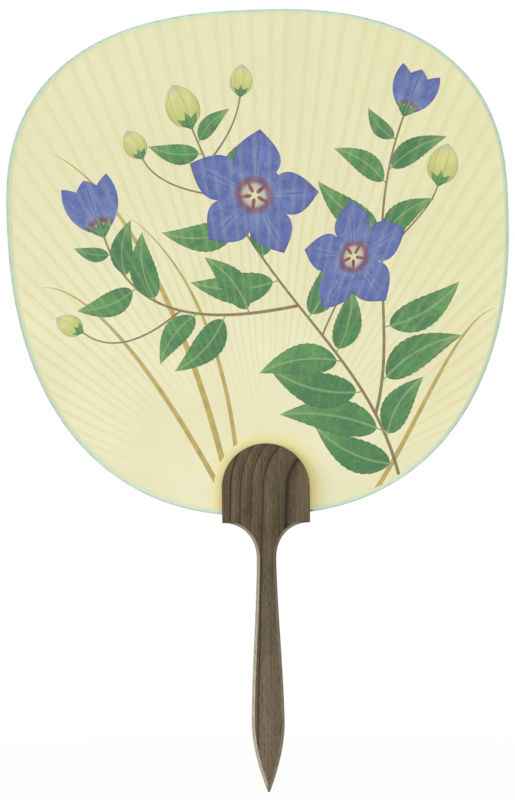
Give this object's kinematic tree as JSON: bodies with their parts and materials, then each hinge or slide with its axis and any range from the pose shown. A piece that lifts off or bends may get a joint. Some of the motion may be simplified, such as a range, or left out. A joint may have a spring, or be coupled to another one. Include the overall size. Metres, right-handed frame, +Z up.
{
  "type": "round uchiwa fan",
  "caption": "Rigid round hand fan: washi pasted on both sides of fine bamboo ribs, a folded paper binding on its edge, and a slotted, bevelled cedar handle.",
  "frame": {"origin": "middle of the handle's thickness on its axis, where the fingers hold the shaft, 55.4 mm above the tip of its point", "axes": "+Z up along the handle towards the face, +X to the right as the painted front is seen, the front towards -Y"},
  "size_m": [0.2402, 0.007, 0.374],
  "materials": {
    "cedar": "dark brushed cedar, matte, fine straight grain with darker growth lines",
    "bamboo": "split and shaved bamboo, plain",
    "washi_print": "cream washi with a painted spray of flowers and leaves, matte",
    "washi_plain": "plain cream washi, matte",
    "binding_strip": "thin pale mint paper strip, matte",
    "base_paper": "thin yellowish paper, matte"
  },
  "bodies": {
    "root": {"handle": "cedar", "rib_middle": "bamboo", "rib_pair_01": "bamboo", "rib_pair_02": "bamboo", "rib_pair_03": "bamboo", "rib_pair_04": "bamboo", "rib_pair_05": "bamboo", "rib_pair_06": "bamboo", "rib_pair_07": "bamboo", "rib_pair_08": "bamboo", "rib_pair_09": "bamboo", "rib_pair_10": "bamboo", "rib_pair_11": "bamboo", "rib_pair_12": "bamboo", "rib_pair_13": "bamboo", "rib_pair_14": "bamboo", "rib_pair_15": "bamboo", "rib_pair_16": "bamboo", "rib_pair_17": "bamboo", "rib_pair_18": "bamboo", "rib_pair_19": "bamboo", "rib_pair_20": "bamboo", "rib_pair_21": "bamboo", "rib_pair_22": "bamboo", "rib_pair_23": "bamboo", "rib_pair_24": "bamboo", "rib_pair_25": "bamboo", "rib_pair_26": "bamboo", "rib_pair_27": "bamboo", "rib_pair_28": "bamboo", "rib_pair_29": "bamboo", "rib_pair_30": "bamboo", "rib_pair_31": "bamboo", "rib_pair_32": "bamboo", "rib_pair_33": "bamboo", "rib_pair_34": "bamboo", "front_paper": "washi_print", "back_paper": "washi_plain", "rim_binding": "binding_strip", "front_base_paper": "base_paper", "back_base_paper": "base_paper"}
  },
  "joints": []
}
